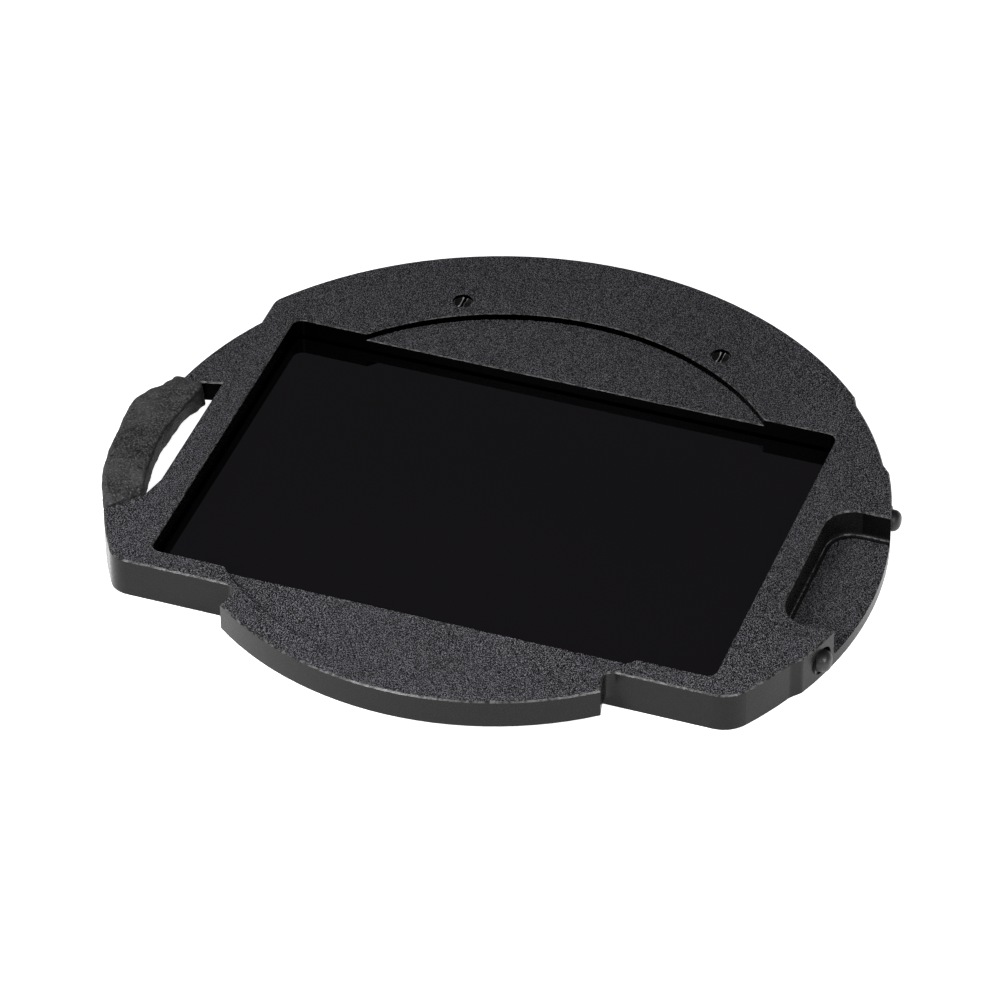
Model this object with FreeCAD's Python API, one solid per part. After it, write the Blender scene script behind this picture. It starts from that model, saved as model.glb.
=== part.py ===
"""Clip-in filter carrier for a full-frame camera throat.

A round anodised plate holds a rectangular filter glass in a stepped window.
Two sprung plungers stick out of the right rim and a rubber-sleeved strip
presses on the left, so the carrier snaps in between the throat's walls.

Frame: origin on the optical axis at the underside, +X right along the long
side of the window, +Y towards the back (top of the picture), +Z up towards
the face that carries the filter recess. Millimetres.
"""
import FreeCAD, Part
import math
import os

V = FreeCAD.Vector
UP = V(0, 0, 1)
TINY = 1e-6               # lengths below this count as nothing
NEAR = 0.05               # lengths this close count as the same

# Plate
PLATE_T = 2.9             # full thickness
RIM_R = 25.45             # rim that centres the carrier
RELIEF_R = 25.18          # relieved rim between the seating arcs
RELIEF_BACK_DEG = (23.9, 42.3)      # where the back relief leaves the rim
RELIEF_FRONT_DEG = (-60, -21.6)     # the front one runs out past the front side
RELIEF_RAMP_DEG = 1.9     # each end slopes in over this much
RELIEF_RAMP_R = 0.8       # soft corners at both ends of the slope
SIDE_X = 21.03            # flat left side
FRONT_Y = 14.45           # flat front side
EDGE_BREAK = 0.1          # broken edges
WINDOW_BREAK = 0.06       # finer break round the window and the recess
BEYOND = 10               # how far the straight cutters reach past the plate
OVER = 1                  # how far the round ones do
BACK_LEFT_R = 1.2         # rounded corner between the left side and the rim
FRONT_LEFT_R = 1.6
FRONT_RIGHT_R = 2.2

# Front lobe, an upper shelf that overhangs the front side
LOBE_R = 20.8
LOBE_T = 2.0
LOBE_TIP_X = 12.75        # half width at the lobe's outer corners
LOBE_ROOT_X = 12.3        # half width where it leaves the front side
LOBE_FILLET = 0.6

# Window and filter
WINDOW_X = 38.0
WINDOW_Y = 25.65
WINDOW_CORNER = 0.65
LIGHT_X = 36.4            # clear opening, larger than the 36 x 24 mm picture
LIGHT_Y = 24.4
LEDGE_T = 0.5             # lip that the glass rests on
BOND_T = 0.1              # adhesive film between lip and glass
BOND_INSET = 0.25         # the film keeps this far from the window's wall
GLASS_T = 0.9
GLASS_GAP = 0.12          # room around the glass
RECESS_R = 18.93          # shallow round recess for the lens's rear baffle
RECESS_DEPTH = 0.5

# Finger notch in the right rim
NOTCH_X = 20.9
NOTCH_BACK_Y = 5.8
NOTCH_FRONT_Y = -6.1
NOTCH_CORNER = 2.0
NOTCH_FLOOR_R = 0.4       # bull-nose corner between wall and floor
NOTCH_DEPTH = 2.0

# Left grip: a strip left standing outside a slot
STRIP_OUT_R = 24.1
STRIP_IN_R = 23.0
STRIP_T = 1.5             # the strip is as thick as the shelf it is cut from
SLOT_BACK_Y = 4.7
SLOT_LEAN = 0.25          # slope of the slot's back end
SLOT_BEND_Y = -5.9
SLOT_TIP_Y = -8.05
GRIP_BACK_Y = 11.8        # the strip runs into the left side here
GRIP_END_IN = (-21.6, -7.95)    # the sleeve stops on a slant between these two points
GRIP_END_OUT = (-23.45, -9.9)
RIM_START = 0.12          # the rim starts again this far past the sleeve
GRIP_FRONT_Y = -10.4      # full thickness again in front of this
SLEEVE_GAP = 0.03         # moulded sleeve, modelled just off the strip
SLEEVE_IN_R = 22.6
SLEEVE_OUT_R = 25.6
SLEEVE_COLLAR_R = 24.7    # thinner collar at the back end
SLEEVE_OVER = 0.22        # rubber above and below the strip
SLEEVE_BACK_Y = 4.5
SLEEVE_STEP_Y = 2.7
SLEEVE_FRONT_Y = -12      # before the slanted end is cut

# Set screws in the back rim
SCREW_X = 9.1
SCREW_Y = 18.35
SCREW_R = 0.68
SCREW_HOLE_R = 0.7
SCREW_L = 2.3
SCREW_SUNK = 0.12
SCREW_SLOT_W = 0.22
SCREW_SLOT_DEPTH = 0.4
SCREW_CONE = 0.3

# Sprung plungers in the right rim, both parallel to X
PLUNGER_Y = 7.4
PLUNGER_Z = 1.4
BORE_R = 0.95
NOSE_R = 0.72
NOSE_ROUND = 0.5          # rounding of the nose's tip
NOSE_OUT = 0.62           # how far the nose stands out of the rim
FIT = 0.03                # radial running clearance of the nose in its bush
BUSH_SUNK = 0.18          # the bush's face lies just inside the rim
BUSH_L = 1.2
COLLAR_R = 0.9
COLLAR_L = 0.45
SPRING_R = 0.68           # to the middle of the wire
SPRING_WIRE = 0.16
SPRING_TURNS = 3.5
SPRING_SIDES = 8          # sides of the wire's section, which stands in for a round one
SPRING_L = 1.9            # as fitted, which leaves room for a full press


def rounded_block(size_x, size_y, corner, z_low, z_high):
    """A block centred on the optical axis, with rounded upright edges."""
    block = Part.makeBox(size_x, size_y, z_high - z_low, V(-size_x / 2, -size_y / 2, z_low))
    upright = [edge for edge in block.Edges if is_upright(edge)]
    return block.makeFillet(corner, upright)


def is_upright(edge):
    low, high = edge.BoundBox.ZMin, edge.BoundBox.ZMax
    return high - low > NEAR and edge.BoundBox.XLength < TINY and edge.BoundBox.YLength < TINY


def prism(points, z_low, z_high):
    """An upright prism on a closed outline of straight sides."""
    outline = Part.makePolygon([V(x, y, z_low) for x, y in points + points[:1]])
    return Part.Face(outline).extrude(UP * (z_high - z_low))


def disc(radius, z_low, z_high):
    return Part.makeCylinder(radius, z_high - z_low, V(0, 0, z_low))


def on_circle(radius, degrees):
    angle = math.radians(degrees)
    return radius * math.cos(angle), radius * math.sin(angle)


def x_on_circle(radius, y):
    return math.sqrt(radius ** 2 - y ** 2)


def sector(radius, from_deg, to_deg, z_low, z_high):
    """A solid wedge about the optical axis."""
    wedge = Part.makeCylinder(radius, z_high - z_low, V(0, 0, z_low), UP, to_deg - from_deg)
    wedge.rotate(V(), UP, from_deg)
    return wedge


def fillet_near(shape, radius, x, y):
    """Round the upright edges of a shape that stand nearest to (x, y)."""
    upright = [edge for edge in shape.Edges if is_upright(edge)]
    distances = [math.hypot(edge.CenterOfMass.x - x, edge.CenterOfMass.y - y) for edge in upright]
    nearest = [edge for edge, gap in zip(upright, distances) if gap < min(distances) + NEAR]
    return shape.makeFillet(radius, nearest)


def plate_blank():
    """The disc with its flat sides, relieved rim and rounded corners."""
    blank = disc(RIM_R, 0, PLATE_T)
    side = Part.makeBox(BEYOND, RIM_R, PLATE_T, V(-SIDE_X - BEYOND, 0, 0))
    front = Part.makeBox(2 * RIM_R, RIM_R, PLATE_T, V(-RIM_R, -FRONT_Y - RIM_R, 0))
    blank = blank.cut(side.cut(disc(STRIP_OUT_R, 0, PLATE_T))).cut(front)
    for ends in (RELIEF_BACK_DEG, RELIEF_FRONT_DEG):
        blank = blank.cut(relief(*ends))
    blank = blank.cut(grip_clearance())
    for rim_deg, ramp_deg in ((RELIEF_BACK_DEG[0], RELIEF_RAMP_DEG), (RELIEF_BACK_DEG[1], -RELIEF_RAMP_DEG),
                              (RELIEF_FRONT_DEG[1], -RELIEF_RAMP_DEG)):
        blank = fillet_near(blank, RELIEF_RAMP_R, *on_circle(RIM_R, rim_deg))
        blank = fillet_near(blank, RELIEF_RAMP_R, *on_circle(RELIEF_R, rim_deg + ramp_deg))
    blank = fillet_near(blank, BACK_LEFT_R, -SIDE_X, x_on_circle(RIM_R, SIDE_X))
    blank = fillet_near(blank, FRONT_LEFT_R, -x_on_circle(RIM_R, FRONT_Y), -FRONT_Y)
    return fillet_near(blank, FRONT_RIGHT_R, x_on_circle(RELIEF_R, FRONT_Y), -FRONT_Y)


def relief(from_deg, to_deg):
    """What is cut from the rim between two angles, sloping in at both ends."""
    wedge = sector(RIM_R + OVER, from_deg, to_deg, 0, PLATE_T).cut(disc(RELIEF_R, 0, PLATE_T))
    for rim_deg, ramp_deg in ((from_deg, RELIEF_RAMP_DEG), (to_deg, -RELIEF_RAMP_DEG)):
        slope = [on_circle(RELIEF_R - OVER, rim_deg), on_circle(RIM_R, rim_deg),
                 on_circle(RELIEF_R, rim_deg + ramp_deg), on_circle(RELIEF_R - OVER, rim_deg + ramp_deg)]
        wedge = wedge.cut(prism(slope, 0, PLATE_T))
    return wedge


def grip_clearance():
    """What is cut away outside the strip, so the sleeve has room."""
    outside = left_sector(RIM_R + OVER, GRIP_BACK_Y, SLEEVE_FRONT_Y, 0, PLATE_T)
    outside = outside.cut(disc(STRIP_OUT_R, 0, PLATE_T))
    return outside.cut(beyond_sleeve(RIM_START, 0, PLATE_T))


def beyond_sleeve(offset, z_low, z_high):
    """Everything in front of the slanted line where the sleeve stops."""
    (in_x, in_y), (out_x, out_y) = GRIP_END_IN, GRIP_END_OUT
    length = math.hypot(out_x - in_x, out_y - in_y)
    along_x, along_y = (out_x - in_x) / length, (out_y - in_y) / length
    forward_x, forward_y = -along_y, along_x
    corners = [(-BEYOND, offset), (BEYOND, offset), (BEYOND, BEYOND), (-BEYOND, BEYOND)]
    outline = [(in_x + along * along_x + forward * forward_x,
                in_y + along * along_y + forward * forward_y) for along, forward in corners]
    return prism(outline, z_low, z_high)


def lobe():
    """The shelf that overhangs the front side, rounded where it leaves it."""
    tip_y = x_on_circle(LOBE_R, LOBE_TIP_X)
    lean = (LOBE_TIP_X - LOBE_ROOT_X) / (tip_y - FRONT_Y)
    far_x = LOBE_ROOT_X + lean * (LOBE_R - FRONT_Y)
    inside_y = WINDOW_Y / 2
    outline = [(-LOBE_ROOT_X, -inside_y), (-LOBE_ROOT_X, -FRONT_Y), (-far_x, -LOBE_R),
               (far_x, -LOBE_R), (LOBE_ROOT_X, -FRONT_Y), (LOBE_ROOT_X, -inside_y)]
    low = PLATE_T - LOBE_T
    return prism(outline, low, PLATE_T).common(disc(LOBE_R, low, PLATE_T))


def finger_notch():
    """A pocket open to the rim, with rounded inner corners and a bull-nose floor."""
    length_y = NOTCH_BACK_Y - NOTCH_FRONT_Y
    corner = V(NOTCH_X, NOTCH_FRONT_Y, PLATE_T - NOTCH_DEPTH)
    pocket = Part.makeBox(BEYOND, length_y, NOTCH_DEPTH + OVER, corner)
    inner = [edge for edge in pocket.Edges if is_upright(edge) and edge.BoundBox.XMin < RIM_R]
    pocket = pocket.makeFillet(NOTCH_CORNER, inner)
    floor = [edge for edge in pocket.Edges
             if edge.BoundBox.ZMax < corner.z + TINY and edge.BoundBox.XMin < RIM_R]
    return pocket.makeFillet(NOTCH_FLOOR_R, floor)


def grip_slot():
    """The gap between the flat left side and the strip."""
    tip_x = x_on_circle(STRIP_IN_R, SLOT_TIP_Y)
    outline = [(-SIDE_X, SLOT_BACK_Y),
               (-SIDE_X - BEYOND, SLOT_BACK_Y - SLOT_LEAN * BEYOND),
               (-SIDE_X - BEYOND, SLOT_TIP_Y), (-tip_x, SLOT_TIP_Y), (-SIDE_X, SLOT_BEND_Y)]
    return prism(outline, 0, PLATE_T).common(disc(STRIP_IN_R, 0, PLATE_T))


def strip_underside():
    """The underside is cut back outside the left side, which thins the strip."""
    corner = V(-SIDE_X - BEYOND, GRIP_FRONT_Y, 0)
    return Part.makeBox(BEYOND, GRIP_BACK_Y - GRIP_FRONT_Y, PLATE_T - STRIP_T, corner)


def along_x(radius, low_x, high_x, side):
    """A round bar on a plunger's axis; side is 1 at the back and -1 at the front."""
    start = V(low_x, side * PLUNGER_Y, PLUNGER_Z)
    return Part.makeCylinder(radius, high_x - low_x, start, V(1, 0, 0))


def plunger_bore(side):
    return along_x(BORE_R, bore_end_x(), RIM_R + OVER, side)


def screw_hole(side):
    return Part.makeCylinder(SCREW_HOLE_R, PLATE_T, V(side * SCREW_X, SCREW_Y, 0))


def is_flat_at(edge, z):
    return edge.BoundBox.ZLength < TINY and abs(edge.BoundBox.ZMin - z) < TINY


def break_edges(plate):
    """Break the sharp edges around the top face and the underside."""
    sharp = [edge for edge in plate.Edges if is_flat_at(edge, 0) or is_flat_at(edge, PLATE_T)]
    return plate.makeChamfer(EDGE_BREAK, sharp)


def break_window(frame):
    """Break the upper edges of the window and the recess."""
    sharp = []
    for edge in frame.Edges:
        middle = edge.valueAt((edge.FirstParameter + edge.LastParameter) / 2)
        in_window = abs(middle.x) < WINDOW_X / 2 + NEAR and abs(middle.y) < WINDOW_Y / 2 + NEAR
        on_recess = abs(math.hypot(middle.x, middle.y) - RECESS_R) < TINY
        if is_flat_at(edge, PLATE_T) and (in_window or on_recess):
            sharp.append(edge)
        if is_flat_at(edge, PLATE_T - RECESS_DEPTH) and in_window:
            sharp.append(edge)
    return frame.makeChamfer(WINDOW_BREAK, sharp)


def carrier_frame():
    frame = plate_blank().fuse(lobe()).removeSplitter()
    for side in (-1, 1):
        frame = fillet_near(frame, LOBE_FILLET, side * LOBE_ROOT_X, -FRONT_Y)
    frame = frame.cut(strip_underside()).cut(grip_slot()).cut(finger_notch())
    frame = break_edges(frame)
    glass_bottom = LEDGE_T
    frame = frame.cut(rounded_block(WINDOW_X, WINDOW_Y, WINDOW_CORNER, glass_bottom, PLATE_T))
    frame = frame.cut(rounded_block(LIGHT_X, LIGHT_Y, WINDOW_CORNER, 0, glass_bottom))
    frame = frame.cut(disc(RECESS_R, PLATE_T - RECESS_DEPTH, PLATE_T)).removeSplitter()
    frame = break_window(frame)
    for side in (-1, 1):
        frame = frame.cut(plunger_bore(side)).cut(screw_hole(side))
    return frame.removeSplitter()


def filter_glass():
    low = LEDGE_T + BOND_T
    size_x = WINDOW_X - 2 * GLASS_GAP
    size_y = WINDOW_Y - 2 * GLASS_GAP
    glass = rounded_block(size_x, size_y, WINDOW_CORNER - GLASS_GAP, low, low + GLASS_T)
    rims = [edge for edge in glass.Edges if edge.BoundBox.ZLength < TINY]
    return glass.makeChamfer(EDGE_BREAK, rims)


def glass_bond():
    """The adhesive film, a frame between the lip and the glass."""
    corner = WINDOW_CORNER - BOND_INSET
    high = LEDGE_T + BOND_T
    outer = rounded_block(WINDOW_X - 2 * BOND_INSET, WINDOW_Y - 2 * BOND_INSET, corner, LEDGE_T, high)
    inner = rounded_block(LIGHT_X + BOND_INSET, LIGHT_Y + BOND_INSET, corner, LEDGE_T, high)
    return outer.cut(inner)


def left_sector(radius, back_y, front_y, z_low, z_high):
    """A wedge on the left, between two places given by their Y on its outer circle."""
    start = 180 - math.degrees(math.asin(back_y / radius))
    end = 180 + math.degrees(math.asin(-front_y / radius))
    return sector(radius, start, end, z_low, z_high)


def slot_side(z_low, z_high):
    """The plate on the window's side of the slot, which the sleeve stays clear of."""
    tip_x = x_on_circle(STRIP_IN_R, SLOT_TIP_Y)
    outline = [(0, SLOT_BACK_Y), (-SIDE_X - SLEEVE_GAP, SLOT_BACK_Y),
               (-SIDE_X - SLEEVE_GAP, SLOT_BEND_Y), (-tip_x - SLEEVE_GAP, SLOT_TIP_Y),
               (0, SLOT_TIP_Y)]
    return prism(outline, z_low, z_high)


def grip_sleeve():
    """The rubber sleeve around the strip, plain here."""
    low = PLATE_T - STRIP_T - SLEEVE_OVER
    high = PLATE_T + SLEEVE_OVER
    body = left_sector(SLEEVE_OUT_R, SLEEVE_STEP_Y, SLEEVE_FRONT_Y, low, high)
    collar = left_sector(SLEEVE_COLLAR_R, SLEEVE_BACK_Y, SLEEVE_STEP_Y - OVER, low, high)
    sleeve = body.fuse(collar).cut(disc(SLEEVE_IN_R, low, high)).removeSplitter()
    sleeve = sleeve.cut(beyond_sleeve(0, low, high)).cut(slot_side(low, high))
    inside_low = PLATE_T - STRIP_T - SLEEVE_GAP
    inside_high = PLATE_T + SLEEVE_GAP
    channel = disc(STRIP_OUT_R + SLEEVE_GAP, inside_low, inside_high)
    channel = channel.cut(disc(STRIP_IN_R - SLEEVE_GAP, inside_low, inside_high))
    return sleeve.cut(channel)


def set_screw(side):
    """A slotted set screw with a cone point, sunk just below the top face."""
    top = PLATE_T - SCREW_SUNK
    centre = V(side * SCREW_X, SCREW_Y, top - SCREW_L)
    shank = Part.makeCylinder(SCREW_R, SCREW_L - SCREW_CONE, centre + UP * SCREW_CONE)
    point = Part.makeCone(SCREW_R - SCREW_CONE, SCREW_R, SCREW_CONE, centre)
    slot = Part.makeBox(SCREW_SLOT_W, 2 * SCREW_R, SCREW_SLOT_DEPTH,
                        V(centre.x - SCREW_SLOT_W / 2, SCREW_Y - SCREW_R, top - SCREW_SLOT_DEPTH))
    return shank.fuse(point).removeSplitter().cut(slot)


def rim_x():
    """Where the rim crosses a plunger's axis."""
    return x_on_circle(RIM_R, PLUNGER_Y)


def bush_back_x():
    return rim_x() - BUSH_SUNK - BUSH_L


def bore_end_x():
    return bush_back_x() - COLLAR_L - SPRING_L


def plunger_bush(side):
    """A bush pressed into the bore, which keeps the plunger's collar in."""
    low_x, high_x = bush_back_x(), rim_x() - BUSH_SUNK
    return along_x(BORE_R, low_x, high_x, side).cut(along_x(NOSE_R + FIT, low_x, high_x, side))


def plunger_pin(side):
    """A round-nosed pin with a collar behind the bush."""
    tip_x = rim_x() + NOSE_OUT
    shank = along_x(NOSE_R, bush_back_x(), tip_x, side)
    tip = [edge for edge in shank.Edges if edge.BoundBox.XMin > tip_x - TINY]
    collar = along_x(COLLAR_R, bush_back_x() - COLLAR_L, bush_back_x(), side)
    return shank.makeFillet(NOSE_ROUND, tip).fuse(collar).removeSplitter()


def plunger_spring(side):
    """A compression spring between the bore's end and the collar."""
    wire_r = SPRING_WIRE / 2
    length = SPRING_L - SPRING_WIRE
    helix = Part.makeHelix(length / SPRING_TURNS, length, SPRING_R)
    turns = [math.radians(360 * side_no / SPRING_SIDES) for side_no in range(SPRING_SIDES + 1)]
    section = Part.makePolygon([V(SPRING_R + wire_r * math.cos(turn), 0, wire_r * math.sin(turn))
                                for turn in turns])
    coil = Part.Wire(helix).makePipeShell([section], True, True)
    coil.rotate(V(), V(0, 1, 0), 90)
    coil.translate(V(bore_end_x() + wire_r, side * PLUNGER_Y, PLUNGER_Z))
    return coil


def build():
    nodes = {
        "carrier_frame": carrier_frame(),
        "filter_glass": filter_glass(),
        "glass_bond": glass_bond(),
        "grip_sleeve": grip_sleeve(),
        "set_screws": Part.makeCompound([set_screw(-1), set_screw(1)]),
    }
    for name, side in (("back", 1), ("front", -1)):
        nodes["plunger_bush_" + name] = plunger_bush(side)
        nodes["plunger_pin_" + name] = plunger_pin(side)
        nodes["plunger_spring_" + name] = plunger_spring(side)
    return nodes


def main():
    os.makedirs("parts", exist_ok=True)
    for name, shape in build().items():
        shape.exportStep("parts/" + name + ".step")
        print(name, "valid" if shape.isValid() else "INVALID", round(shape.Volume, 3))


main()
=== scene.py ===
"""Clip-in filter carrier: looks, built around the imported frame. Metres."""
import bmesh
import bpy
import math
from mathutils import Matrix, Vector, noise


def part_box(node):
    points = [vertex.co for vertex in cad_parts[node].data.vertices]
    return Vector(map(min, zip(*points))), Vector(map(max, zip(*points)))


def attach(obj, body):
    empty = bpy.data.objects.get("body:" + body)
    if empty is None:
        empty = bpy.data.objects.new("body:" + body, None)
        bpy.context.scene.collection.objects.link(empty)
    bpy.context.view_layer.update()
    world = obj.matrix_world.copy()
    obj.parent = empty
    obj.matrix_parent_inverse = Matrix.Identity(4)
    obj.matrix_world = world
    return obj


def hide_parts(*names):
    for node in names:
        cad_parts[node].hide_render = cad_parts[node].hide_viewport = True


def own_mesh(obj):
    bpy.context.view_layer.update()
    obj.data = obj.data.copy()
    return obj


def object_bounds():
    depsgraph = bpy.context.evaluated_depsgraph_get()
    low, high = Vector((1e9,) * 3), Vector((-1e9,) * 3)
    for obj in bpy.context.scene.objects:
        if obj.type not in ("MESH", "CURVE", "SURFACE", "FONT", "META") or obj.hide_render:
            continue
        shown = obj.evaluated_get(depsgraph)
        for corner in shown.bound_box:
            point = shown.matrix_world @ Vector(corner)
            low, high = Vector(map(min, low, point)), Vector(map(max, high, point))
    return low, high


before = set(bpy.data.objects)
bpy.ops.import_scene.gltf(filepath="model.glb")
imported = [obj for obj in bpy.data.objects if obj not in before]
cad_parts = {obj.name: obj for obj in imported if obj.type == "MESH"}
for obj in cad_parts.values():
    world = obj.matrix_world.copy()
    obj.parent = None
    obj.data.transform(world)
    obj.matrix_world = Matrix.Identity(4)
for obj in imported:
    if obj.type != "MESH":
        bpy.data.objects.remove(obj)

cad_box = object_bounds()
MM = 0.001

# Camera
CAMERA_AT = (0.1102, -0.29961, 0.26124)
CAMERA_TOWARDS = (-0.2677, 0.7289, -0.6301)
CAMERA_ROLL_DEG = -0.53
CAMERA_LENS = 228.86      # millimetres, as the sensor is
CAMERA_SENSOR = 36
CAMERA_RANGE = (0.01, 10)


def look_along(direction, roll_deg=0.0):
    """A rotation that points an object's -Z along a direction, then rolls it."""
    turn = Vector(direction).to_track_quat("-Z", "Y").to_matrix()
    return turn @ Matrix.Rotation(math.radians(roll_deg), 3, "Z")


def make_camera():
    data = bpy.data.cameras.new("camera")
    data.sensor_width = CAMERA_SENSOR
    data.lens = CAMERA_LENS
    data.clip_start, data.clip_end = CAMERA_RANGE
    camera = bpy.data.objects.new("camera", data)
    camera.matrix_world = Matrix.Translation(CAMERA_AT) @ look_along(
        CAMERA_TOWARDS, CAMERA_ROLL_DEG).to_4x4()
    bpy.context.collection.objects.link(camera)
    bpy.context.scene.camera = camera


# Materials
NOISE_TILT = {"Angle": 0.9, "Axis": (1.0, 0.7, 0.3)}      # about a line that lies in no flat face
GRAIN = 14500.0           # grains per metre across the blasted faces
BLAST_TONE = 0.23         # reflectance of their bright grains
BLAST_TINT = (0.98, 0.965, 1.07)
BLAST_BUMP = 0.035 * MM
RUBBER_BUMP = 0.07 * MM
SCRATCH_BUMP = 0.004 * MM
TOWARDS_AXIS = (-0.15, -0.35)     # how squarely a wall faces the axis before it counts as inward


class Nodes:
    """A short way to write a material's nodes."""

    def __init__(self, name):
        self.material = bpy.data.materials.new(name)
        self.material.use_nodes = True
        self.tree = self.material.node_tree
        self.shader = self.tree.nodes["Principled BSDF"]
        self.place = self.add("ShaderNodeTexCoord").outputs["Object"]
        tilt = {"Vector": self.place, **NOISE_TILT}
        self.tilted = self.add("ShaderNodeVectorRotate", tilt).outputs["Vector"]

    def add(self, kind, inputs=(), **settings):
        node = self.tree.nodes.new(kind)
        for key, value in settings.items():
            setattr(node, key, value)
        for key, value in dict(inputs).items():
            self.set(node.inputs[key], value)
        return node

    def set(self, socket, value):
        if isinstance(value, bpy.types.NodeSocket):
            self.tree.links.new(value, socket)
        else:
            socket.default_value = value

    def noise(self, scale, detail=2.0, roughness=0.5, distortion=0.0):
        """Noise with features of about 1 / scale metres. It is tilted, so that no flat face
        lies along the noise's own grid."""
        inputs = {"Vector": self.tilted, "Scale": scale, "Detail": detail,
                  "Roughness": roughness, "Distortion": distortion}
        return self.add("ShaderNodeTexNoise", inputs).outputs["Fac"]

    def span(self, value, low, high, to_low=0.0, to_high=1.0):
        """Map a value from one span to another, clamped."""
        inputs = {"Value": value, "From Min": low, "From Max": high,
                  "To Min": to_low, "To Max": to_high}
        return self.add("ShaderNodeMapRange", inputs).outputs["Result"]

    def maths(self, operation, first, second=0.0):
        inputs = {0: first, 1: second}
        return self.add("ShaderNodeMath", inputs, operation=operation).outputs["Value"]

    def vector(self, operation, inputs, result="Vector"):
        inputs = dict(enumerate(inputs))
        return self.add("ShaderNodeVectorMath", inputs, operation=operation).outputs[result]

    def mix(self, amount, first, second):
        """Mix two colours."""
        node = self.add("ShaderNodeMix", {"Factor": amount}, data_type="RGBA")
        self.set(node.inputs["A"], first)
        self.set(node.inputs["B"], second)
        return node.outputs["Result"]

    def up(self):
        """1 on faces that look up or down, 0 on upright ones."""
        normal = self.add("ShaderNodeNewGeometry").outputs["Normal"]
        z = self.add("ShaderNodeSeparateXYZ", {"Vector": normal}).outputs["Z"]
        return self.maths("ABSOLUTE", z)

    def inward(self):
        """1 on upright faces that look towards the optical axis, 0 on those that look away."""
        normal = self.add("ShaderNodeNewGeometry").outputs["Normal"]
        level = self.vector("MULTIPLY", (self.place, (1.0, 1.0, 0.0)))
        outward = self.vector("NORMALIZE", (level,))
        facing = self.vector("DOT_PRODUCT", (outward, normal), "Value")
        return self.span(facing, *TOWARDS_AXIS)

    def bump(self, height, distance, strength=1.0):
        inputs = {"Height": height, "Distance": distance, "Strength": strength}
        self.set(self.shader.inputs["Normal"], self.add("ShaderNodeBump", inputs).outputs["Normal"])

    def finish(self, **sockets):
        for key, value in sockets.items():
            self.set(self.shader.inputs[key.replace("_", " ")], value)
        return self.material


def grey(value, tint=(1.0, 1.0, 1.0)):
    return (value * tint[0], value * tint[1], value * tint[2], 1.0)


def blasted_faces(m, grain):
    """Bright grains on black, with faint darker clouds."""
    colour = m.mix(m.maths("POWER", grain, 3.3), grey(0.0), grey(BLAST_TONE, BLAST_TINT))
    cloud = m.span(m.noise(90.0, 3.0), 0.35, 0.65, 0.0, 0.12)
    return m.mix(cloud, colour, grey(0.0))


def milled_walls(m, inward):
    """Dark, with painted highlights (glint lines) on faces at about 45 degrees, and painted shade
    (near-black) where inward is 1.
    """
    colour = m.mix(m.noise(2500.0, 2.0), grey(0.004), grey(0.007))
    edge = m.maths("MULTIPLY", m.span(m.up(), 0.6, 0.68), m.span(m.up(), 0.8, 0.72))
    painted_glint = m.span(m.noise(3000.0, 3.0, 0.7), 0.42, 0.6, 0.1, 1.0)
    # painted highlight: faces at about 45 degrees lightened into glint lines, broken up by noise
    colour = m.mix(m.maths("MULTIPLY", edge, painted_glint), colour, grey(0.1))
    # painted shade: walls that face the optical axis turned near-black
    return m.mix(inward, colour, grey(0.0005))


def anodised():
    """Black anodised aluminium: bead-blasted on the flat faces, milled on the walls.
    Walls that face the optical axis get painted shade: a near-black colour, with metallic raised so
    they reflect little."""
    m = Nodes("anodised_black")
    flat = m.span(m.up(), 0.985, 0.998)
    # mask for the painted shade on upright walls that face the optical axis
    inward = m.maths("MULTIPLY", m.inward(), m.span(m.up(), 0.6, 0.4))
    grain = m.span(m.noise(GRAIN, 1.0, 0.6), 0.4, 0.62)
    colour = m.mix(flat, milled_walls(m, inward), blasted_faces(m, grain))
    rough = m.span(flat, 0.0, 1.0, 0.25, 0.4)
    rough = m.maths("ADD", rough, m.span(grain, 0.0, 1.0, -0.06, 0.06))
    relief = m.span(flat, 0.0, 1.0, 0.06, 1.0)
    m.bump(m.maths("MULTIPLY", grain, relief), BLAST_BUMP)
    return m.finish(Base_Color=colour, Roughness=rough, Metallic=m.span(inward, 0.2, 1.0),
                    Specular_IOR_Level=0.14)


def filter_pane():
    """Very dense filter glass, whose coating mirrors the window's walls."""
    m = Nodes("dense_glass")
    depth = m.span(m.noise(40.0, 2.0), 0.3, 0.7)
    colour = m.mix(depth, (0.0006, 0.0005, 0.0007, 1), (0.0012, 0.001, 0.0013, 1))
    rough = m.span(m.noise(900.0, 3.0), 0.3, 0.7, 0.01, 0.02)
    return m.finish(Base_Color=colour, Roughness=rough, Specular_IOR_Level=0.95,
                    Specular_Tint=(0.98, 0.87, 1.0, 1.0))


def cured_adhesive():
    """A thin clear film, faintly yellow in places."""
    m = Nodes("clear_adhesive")
    colour = m.mix(m.noise(1500.0), grey(0.02), grey(0.035, (1.0, 0.95, 0.85)))
    return m.finish(Base_Color=colour, Roughness=0.3)


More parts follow.
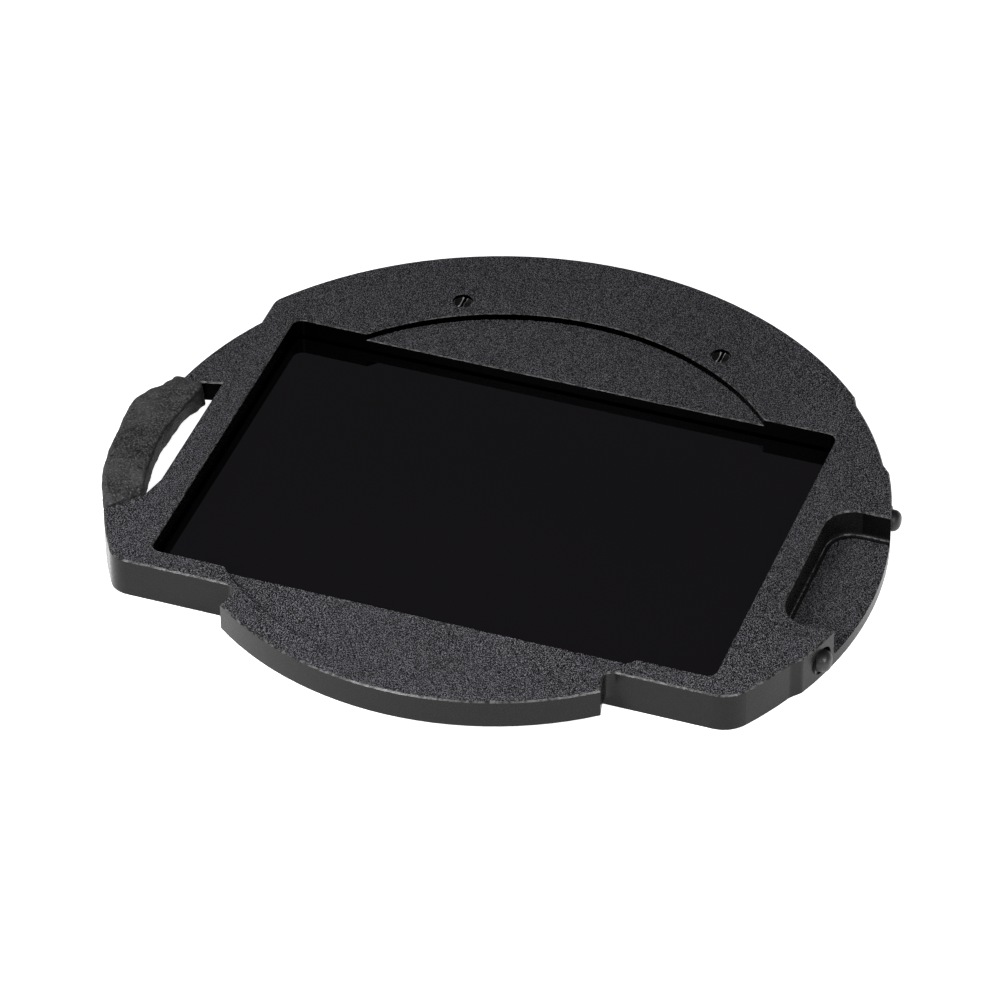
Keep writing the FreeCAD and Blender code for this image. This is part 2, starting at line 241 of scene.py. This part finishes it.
def rubber():
    """Dark matt rubber, mottled and pitted, with painted shade making its upright sides near-black.
    """
    m = Nodes("matt_rubber")
    mottle = m.span(m.noise(420.0, 6.0, 0.68, 0.8), 0.38, 0.62)
    speck = m.span(m.noise(8000.0, 2.0, 0.65), 0.38, 0.64)
    pit = m.span(m.noise(1600.0, 2.0, 0.5), 0.36, 0.28)
    colour = m.mix(mottle, grey(0.006, (1.0, 0.97, 0.98)), grey(0.045, (1.0, 0.97, 1.02)))
    colour = m.mix(m.maths("POWER", speck, 2.2), colour, grey(0.1, (1.0, 0.98, 1.02)))
    colour = m.mix(pit, colour, grey(0.003))
    # painted shade: upright sides near-black, while faces that look up or down keep the mottled
    # colour
    colour = m.mix(m.span(m.up(), 0.25, 0.85), grey(0.004), colour)
    height = m.maths("ADD", m.maths("MULTIPLY", mottle, 0.6), m.maths("MULTIPLY", speck, 0.4))
    m.bump(m.maths("SUBTRACT", height, pit), RUBBER_BUMP, 0.9)
    rough = m.span(speck, 0.0, 1.0, 0.62, 0.8)
    return m.finish(Base_Color=colour, Roughness=rough, Specular_IOR_Level=0.3)


def steel(name, dark, light, roughness, metallic=1.0, edges=0.0):
    """Turned steel with fine scratches, and painted highlights on its sloped edge faces where edges
    is above 0.
    """
    m = Nodes(name)
    scratch = m.span(m.noise(9000.0, 3.0, 0.7), 0.3, 0.7)
    wear = m.span(m.noise(1800.0, 2.0), 0.4, 0.7)
    colour = m.mix(m.maths("MULTIPLY", scratch, wear), grey(dark), grey(light))
    painted_glint = m.maths("MULTIPLY", m.span(m.up(), 0.2, 0.35), m.span(m.up(), 0.97, 0.9))
    # painted highlight: sloped edge faces lightened into glints
    colour = m.mix(m.maths("MULTIPLY", painted_glint, edges), colour, grey(0.8))
    m.bump(scratch, SCRATCH_BUMP, 0.4)
    rough = m.span(wear, 0.0, 1.0, roughness + 0.05, roughness - 0.05)
    return m.finish(Base_Color=colour, Roughness=rough, Metallic=metallic)


def give(piece, material):
    """Put one material in every slot of a piece."""
    if not piece.data.materials:
        piece.data.materials.append(material)
    for slot in piece.material_slots:
        slot.material = material


# Pieces

def blend_to(value, low, high):
    """0 below low, 1 above high, smooth between."""
    t = min(1.0, max(0.0, (value - low) / (high - low)))
    return t * t * (3 - 2 * t)


def new_piece(name, mesh, material, body, stands_for, smooth=True):
    """Put a mesh in the scene, riding a body in place of a CAD node."""
    piece = bpy.data.objects.new(name, mesh)
    bpy.context.collection.objects.link(piece)
    for face in mesh.polygons:
        face.use_smooth = smooth
    give(piece, material)
    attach(piece, body)
    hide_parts(stands_for)
    return piece


def skin(rings, closed_ends):
    """Faces between equal rings of vertices, each ring closed on itself."""
    size = len(rings[0])
    faces = []
    for ring in range(len(rings) - 1):
        for side in range(size):
            after = (side + 1) % size
            faces.append((ring * size + side, ring * size + after,
                          (ring + 1) * size + after, (ring + 1) * size + side))
    if closed_ends:
        faces.append(tuple(range(size))[::-1])
        faces.append(tuple((len(rings) - 1) * size + side for side in range(size)))
    return faces


def mesh_from(name, rings, faces):
    """A mesh from rings of points in millimetres, with its faces turned outwards."""
    mesh = bpy.data.meshes.new(name)
    mesh.from_pydata([tuple(point * MM) for ring in rings for point in ring], [], faces)
    tidy = bmesh.new()
    tidy.from_mesh(mesh)
    bmesh.ops.recalc_face_normals(tidy, faces=tidy.faces)
    tidy.to_mesh(mesh)
    tidy.free()
    return mesh


# Rubber sleeve. Its sections run from the slot's side to the outside, in millimetres.
SLEEVE_IN_BACK_Y = 4.2    # the back end slants from here to the CAD solid's back
SLEEVE_END_IN_Y = -8.02
SLEEVE_END_OUT_Y = -10.03
SLEEVE_TOP_DROP = 0.04    # the top edge lies below the CAD solid's, and its crown above
SLEEVE_CROWN = 0.1
SLEEVE_RADII = (0.3, 0.5, 0.42, 0.16)      # top inner, top outer, bottom outer, bottom inner
SLEEVE_COUNTS = (30, 16, 26, 18)           # points along the top, outside, bottom and inside
SLEEVE_SECTIONS = 170
SLEEVE_STRETCH = 1.05     # the curved sleeve's length over its length along Y
SLEEVE_END_ROUND = 0.3
SLEEVE_END_EASES = (0.06, 0.2, 0.4)       # extra sections at each end, as shares of its rounding
SLEEVE_LUMPS = ((0.07, 0.55, 3), (0.05, 1.5, 11), (0.02, 5.0, 23))    # height, lumps per mm, seed
CRUMBLE_FROM = 0.88       # share of the length after which the front end crumbles
CRUMBLE_LUMP = (0.1, 2.4, 31)
CRUMBLE_SWELL = 0.02
CRUMBLE_PIT = (1.0, 2.9, 47)
CRUMBLE_PIT_EDGE = (0.22, 0.45)
CRUMBLE_PIT_DEPTH = 0.22
CORNER_STEPS = 6
CHANNEL_CORNER = 0.05
SLOT_SIDE_X = 21.06       # the sleeve stays outside the slot's straight side
SLOT_BEND_Y = -5.9
SLOT_TIP_LEAN = 0.24      # slope of the slot's side in front of the bend
STRIP_IN_R, STRIP_OUT_R = 22.97, 24.13
STRIP_LOW, STRIP_HIGH = 1.37, 2.93
THIN = 0.04               # least rubber between the strip and the slot
# Radii at each Y: the inner face's upper edge, its lower edge and the outside
INNER_R = ((4.5, 22.6), (3.0, 22.35), (1.8, 22.35), (0.4, 22.47), (-0.9, 22.68), (-3.5, 22.78),
           (-5.5, 22.88), (-8.0, 22.92))
LOWER_R = ((4.5, 22.15), (3.5, 22.5), (2.0, 22.8), (0.0, 22.86), (-1.7, 22.93), (-8.0, 22.93))
OUTER_R = ((4.5, 24.85), (4.1, 24.75), (3.3, 24.95), (2.3, 25.65), (1.0, 25.95), (-0.5, 25.92),
           (-2.5, 25.8), (-5.5, 25.85), (-7.2, 25.7), (-8.6, 25.5), (-9.9, 25.35))


def radius_at(y, radii):
    """A radius read from one of the tables, smooth between its rows."""
    for (high_y, high_r), (low_y, low_r) in zip(radii, radii[1:]):
        if y >= low_y:
            return high_r + (low_r - high_r) * blend_to(high_y - y, 0, high_y - low_y)
    return radii[-1][1]


def sleeve_section(s, back_y):
    """Plan positions of a section's inner and outer ends; s is 0 at the back, 1 in front."""
    in_y = SLEEVE_IN_BACK_Y + (SLEEVE_END_IN_Y - SLEEVE_IN_BACK_Y) * s
    side_x = SLOT_SIDE_X + max(0.0, SLOT_BEND_Y - in_y) * SLOT_TIP_LEAN
    in_x = -max(math.sqrt(radius_at(in_y, INNER_R) ** 2 - in_y ** 2), side_x)
    out_y = back_y + (SLEEVE_END_OUT_Y - back_y) * s
    out_x = -math.sqrt(radius_at(out_y, OUTER_R) ** 2 - out_y ** 2)
    return Vector((in_x, in_y, 0)), Vector((out_x, out_y, 0))


def crossing(start, end, radius):
    """How far along start to end a circle about the optical axis is crossed."""
    step = end - start
    a, b, c = step.dot(step), 2 * start.dot(step), start.dot(start) - radius ** 2
    return step.length * (-b + math.sqrt(max(0.0, b * b - 4 * a * c))) / (2 * a)


def rounded_ring(low, high, radii, counts):
    """Points (a, b) and outward directions round a rectangle from corner low to corner high.
    The radii start at low a, high b and go round by high a; so do the counts, along the sides."""
    turns = ((low[0], high[1], 1, -1), (high[0], high[1], -1, -1),
             (high[0], low[1], -1, 1), (low[0], low[1], 1, 1))
    arcs = []
    for corner, (a, b, to_a, to_b) in enumerate(turns):
        radius = radii[corner]
        arc = []
        for step in range(CORNER_STEPS + 1):
            angle = math.radians(180 - 90 * corner - 90 * step / CORNER_STEPS)
            out = Vector((math.cos(angle), math.sin(angle)))
            arc.append((Vector((a + to_a * radius, b + to_b * radius)) + radius * out, out))
        arcs.append(arc)
    ring = []
    for corner, arc in enumerate(arcs):
        ring += arc
        start, out = arc[-1]
        end = arcs[(corner + 1) % 4][0][0]
        for step in range(1, counts[corner]):
            ring.append((start.lerp(end, step / counts[corner]), out))
    return ring


def lump(point, height, per_mm, seed):
    """A smooth random height at a point, the same on each run."""
    return height * noise.noise(point * per_mm + Vector((seed, 0, 0)))


def sleeve_height(point, s):
    """How far the rubber stands out from its plain section at a point."""
    height = sum(lump(point, *size) for size in SLEEVE_LUMPS)
    crumble = blend_to(s, CRUMBLE_FROM, 1.0)
    height += crumble * (lump(point, *CRUMBLE_LUMP) + CRUMBLE_SWELL)
    pit = blend_to(lump(point, *CRUMBLE_PIT), *CRUMBLE_PIT_EDGE)
    return height - CRUMBLE_PIT_DEPTH * pit * crumble


def sleeve_spots(length):
    """Where the sections lie, from 0 to 1, with extra ones in the rounded ends."""
    spots = [step / SLEEVE_SECTIONS for step in range(SLEEVE_SECTIONS + 1)]
    eases = [SLEEVE_END_ROUND / length * share for share in SLEEVE_END_EASES]
    return sorted(spots + eases + [1 - ease for ease in eases])


def end_inset(to_end):
    """How far a section shrinks at a distance from the sleeve's end, to round it."""
    short = max(0.0, SLEEVE_END_ROUND - to_end)
    return SLEEVE_END_ROUND - math.sqrt(SLEEVE_END_ROUND ** 2 - short ** 2)


def outer_row(s, start, end, low_z, high_z, inset):
    """One section's outside, with its undercut, crown and lumps."""
    width = (end - start).length
    across = (end - start) / width
    top_z = high_z - SLEEVE_TOP_DROP
    ring = rounded_ring((inset, low_z + inset), (width - inset, top_z - inset),
                        SLEEVE_RADII, SLEEVE_COUNTS)
    undercut = radius_at(start.y, LOWER_R) - radius_at(start.y, INNER_R)
    row = []
    for flat, out in ring:
        share = flat.x / width
        lower = (high_z - flat.y) / (high_z - low_z)
        reach_in = flat.x + undercut * lower * (1 - share)
        crown = SLEEVE_CROWN * max(0.0, out.y) * (4 * share * (1 - share) - 0.5)
        place = start + across * reach_in + Vector((0, 0, flat.y))
        stand_out = crown + sleeve_height(place, s)
        row.append(place + stand_out * (across * out.x + Vector((0, 0, out.y))))
    return row


def channel_row(start, end):
    """One section of the channel that the grip strip fills."""
    across = (end - start) / (end - start).length
    strip_in = max(THIN, crossing(start, end, STRIP_IN_R))
    strip_out = crossing(start, end, STRIP_OUT_R)
    ring = rounded_ring((strip_in, STRIP_LOW), (strip_out, STRIP_HIGH),
                        (CHANNEL_CORNER,) * 4, SLEEVE_COUNTS)
    return [start + across * flat.x + Vector((0, 0, flat.y)) for flat, out in ring]


def sleeve_mesh():
    """One closed skin: to the front along the outside, and back along the channel."""
    low, high = (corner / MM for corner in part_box("grip_sleeve"))
    length = (high.y - SLEEVE_END_OUT_Y) * SLEEVE_STRETCH
    outer, inner = [], []
    for s in sleeve_spots(length):
        start, end = sleeve_section(s, high.y)
        inset = end_inset(min(s, 1 - s) * length)
        outer.append(outer_row(s, start, end, low.z, high.z, inset))
        inner.append(channel_row(start, end))
    rings = outer + inner[::-1]
    count = len(rings) * len(rings[0])
    faces = skin(rings + rings[:1], False)
    faces = [tuple(index % count for index in face) for face in faces]
    return mesh_from("grip_rubber", rings, faces)


# Plunger springs
SPRING_R = 0.68
WIRE_R = 0.08
ACTIVE_TURNS = 3
END_TURNS = 0.85          # closed turns at each end
TURN_STEPS = 28
WIRE_SIDES = 12


def spring_line(length):
    """A round-wire compression spring's centre line along X, with closed ends."""
    total = ACTIVE_TURNS + 2 * END_TURNS
    closed = 2 * WIRE_R * END_TURNS
    span = length - 2 * WIRE_R
    rise = (span - 2 * closed) / ACTIVE_TURNS
    line = []
    for step in range(int(total * TURN_STEPS) + 1):
        turn = step / TURN_STEPS
        open_turns = min(max(0.0, turn - END_TURNS), ACTIVE_TURNS)
        x = WIRE_R + rise * open_turns + 2 * WIRE_R * (turn - open_turns)
        angle = 2 * math.pi * turn
        line.append(Vector((x, SPRING_R * math.cos(angle), SPRING_R * math.sin(angle))))
    return line


def spring_mesh(node):
    """The coil that fills a CAD spring's box."""
    low, high = (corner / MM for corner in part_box(node))
    axis = Vector((low.x, (low.y + high.y) / 2, (low.z + high.z) / 2))
    rings = []
    line = spring_line(high.x - low.x)
    for index, point in enumerate(line):
        ahead = line[min(index + 1, len(line) - 1)] - line[max(index - 1, 0)]
        out = Vector((0, point.y, point.z)).normalized()
        side = ahead.cross(out).normalized()
        ring = []
        for step in range(WIRE_SIDES):
            angle = 2 * math.pi * step / WIRE_SIDES
            ring.append(axis + point + WIRE_R * (out * math.cos(angle) + side * math.sin(angle)))
        rings.append(ring)
    return mesh_from(node + "_coil", rings, skin(rings, True))


# Set screws
THREAD_PITCH = 0.3
THREAD_DEPTH = 0.09
THREAD_STARTS = (0.24, 0.48)      # heights above the point between which the thread grows
THREAD_ENDS = (0.264, 0.12)       # depths below the top between which it fades
THREAD_FLANK = (0.15, 0.85)       # where its flank begins and ends, as a share of half a turn
SCREW_TURN_STEPS = 48
SCREW_RISE_STEPS = 90
SCREW_CHAMFER = 0.12      # height of the top's chamfer
SCREW_CHAMFER_IN = 0.096
SCREW_POINT = 0.3
SCREW_DISH = 0.06         # depth of the hollow in the middle of the top
SCREW_DISH_SHARE = 0.5    # its floor's share of the top's width
SLOT_WIDTH = 0.22
SLOT_DEPTH = 0.4
SLOT_BREAK = 0.09         # the slot's edges are broken at 45 degrees


def screw_radius(height, length, radius, turn):
    """The screw's radius at a height above its point, with its thread."""
    wave = (height / THREAD_PITCH - turn) % 1
    crest = abs(2 * wave - 1)
    threaded = blend_to(height, *THREAD_STARTS)
    threaded *= 1 - blend_to(height, *(length - depth for depth in THREAD_ENDS))
    full = radius - THREAD_DEPTH * threaded * blend_to(crest, *THREAD_FLANK)
    at_point = radius - SCREW_POINT + height
    at_top = radius - SCREW_CHAMFER_IN * blend_to(height, length - SCREW_CHAMFER, length)
    return min(full, at_point, at_top)


def screw_shape(length, radius):
    """A threaded screw with a point below and a hollow top, standing on the origin."""
    rings = []
    for rise in range(SCREW_RISE_STEPS + 1):
        height = length * rise / SCREW_RISE_STEPS
        ring = []
        for step in range(SCREW_TURN_STEPS):
            turn = step / SCREW_TURN_STEPS
            reach = screw_radius(height, length, radius, turn)
            angle = 2 * math.pi * turn
            ring.append(Vector((reach * math.cos(angle), reach * math.sin(angle), height)))
        rings.append(ring)
    floor = Vector((0, 0, length - SCREW_DISH))
    shrink = Vector((SCREW_DISH_SHARE, SCREW_DISH_SHARE, 0))
    rings.append([floor + point * shrink for point in rings[-1]])
    return mesh_from("set_screw", rings, skin(rings, True))


def slot_cutter(length, radius):
    """A blade along Y that widens at its top, so that the slot it cuts has broken edges."""
    half, rise = SLOT_WIDTH / 2, SLOT_BREAK
    outline = ((-half, -SLOT_DEPTH), (half, -SLOT_DEPTH), (half, -rise),
               (half + 2 * rise, rise), (-half - 2 * rise, rise), (-half, -rise))
    ends = [[Vector((x, y, length + z)) for x, z in outline] for y in (-2 * radius, 2 * radius)]
    return mesh_from("slot_cutter", ends, skin(ends, True))


def cut_slot(screw, length, radius):
    """Cut the driver's slot with a boolean."""
    blade = bpy.data.objects.new("slot_cutter", slot_cutter(length, radius))
    blank = bpy.data.objects.new("screw_blank", screw)
    for piece in (blade, blank):
        bpy.context.collection.objects.link(piece)
    cut = blank.modifiers.new("slot", "BOOLEAN")
    cut.object = blade
    cut.solver = "EXACT"
    graph = bpy.context.evaluated_depsgraph_get()
    done = bpy.data.meshes.new_from_object(blank.evaluated_get(graph))
    for piece in (blade, blank):
        bpy.data.objects.remove(piece)
    return done


def screws_mesh():
    """Both set screws in one mesh, at the CAD pair's places."""
    low, high = (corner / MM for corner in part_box("set_screws"))
    radius = (high.y - low.y) / 2
    length = high.z - low.z
    screw = cut_slot(screw_shape(length, radius), length, radius)
    pair = bmesh.new()
    for x in (low.x + radius, high.x - radius):
        turned = screw.copy()
        turned.transform(Matrix.Translation(Vector((x, low.y + radius, low.z)) * MM))
        pair.from_mesh(turned)
    mesh = bpy.data.meshes.new("set_screws_threaded")
    pair.to_mesh(mesh)
    pair.free()
    return mesh


# Stage
WORLD_TONE = 0.07
FLOOR_GLOW = 1.12         # the object stands on a faintly lit table
FLOOR_HALF = 3.0
FLOOR_GAP = 0.02 * MM
LIGHTS = (                # name, place, side and power of each square light
    ("top_softbox", (-0.38, 0.16, 0.6), 0.35, 0.7),
    ("near_right", (0.09, -0.07, 0.08), 0.04, 0.1),
    ("near_front", (-0.026, -0.08, 0.062), 0.036, 0.105),
)


def area_light(name, place, side, power):
    """A square light aimed at the origin, out of the camera's sight."""
    data = bpy.data.lights.new(name, "AREA")
    data.shape = "SQUARE"
    data.size = side
    data.energy = power
    light = bpy.data.objects.new(name, data)
    light.matrix_world = Matrix.Translation(place) @ look_along(-Vector(place)).to_4x4()
    light.visible_camera = False
    bpy.context.collection.objects.link(light)


def make_floor():
    """A wide pale table just below the object."""
    mesh = bpy.data.meshes.new("floor")
    level = cad_box[0].z - FLOOR_GAP
    turns = ((-1, -1), (1, -1), (1, 1), (-1, 1))
    corners = [(x * FLOOR_HALF, y * FLOOR_HALF, level) for x, y in turns]
    mesh.from_pydata(corners, [], [(0, 1, 2, 3)])
    floor = bpy.data.objects.new("floor", mesh)
    bpy.context.collection.objects.link(floor)
    m = Nodes("pale_floor")
    tone = m.mix(m.noise(3.0), grey(0.84), grey(0.87))
    give(floor, m.finish(Base_Color=tone, Roughness=0.75, Emission_Color=tone,
                         Emission_Strength=FLOOR_GLOW))


def make_world():
    world = bpy.data.worlds.new("studio")
    world.use_nodes = True
    sky = world.node_tree.nodes["Background"]
    sky.inputs["Color"].default_value = grey(WORLD_TONE)
    sky.inputs["Strength"].default_value = 1.0
    bpy.context.scene.world = world


def dress_frame():
    """Give each carried-over CAD node its material."""
    pin = steel("plunger_steel", 0.015, 0.04, 0.45, metallic=0.3)
    bush = steel("bush_steel", 0.012, 0.04, 0.45)
    finishes = {"carrier_frame": anodised(), "filter_glass": filter_pane(),
                "glass_bond": cured_adhesive()}
    for side in ("back", "front"):
        finishes["plunger_pin_" + side] = pin
        finishes["plunger_bush_" + side] = bush
    for node, material in finishes.items():
        give(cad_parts[node], material)


def make_pieces():
    """Put the finer meshes in place of the plain CAD solids."""
    new_piece("grip_rubber", sleeve_mesh(), rubber(), "carrier", "grip_sleeve")
    # edges=0.8 gives the screws painted highlights (glints) on their slot edges and chamfer
    black = steel("black_steel", 0.003, 0.01, 0.35, metallic=0.4, edges=0.8)
    new_piece("set_screws_threaded", screws_mesh(), black, "carrier", "set_screws",
              smooth=False)
    wire = steel("spring_wire", 0.25, 0.5, 0.3)
    for side in ("back", "front"):
        node = "plunger_spring_" + side
        coil = new_piece(node + "_coil", spring_mesh(node), wire, "carrier", node)
        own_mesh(coil)


make_camera()
make_world()
make_floor()
dress_frame()
make_pieces()
for light in LIGHTS:
    area_light(*light)
bpy.context.scene.view_settings.view_transform = "Standard"
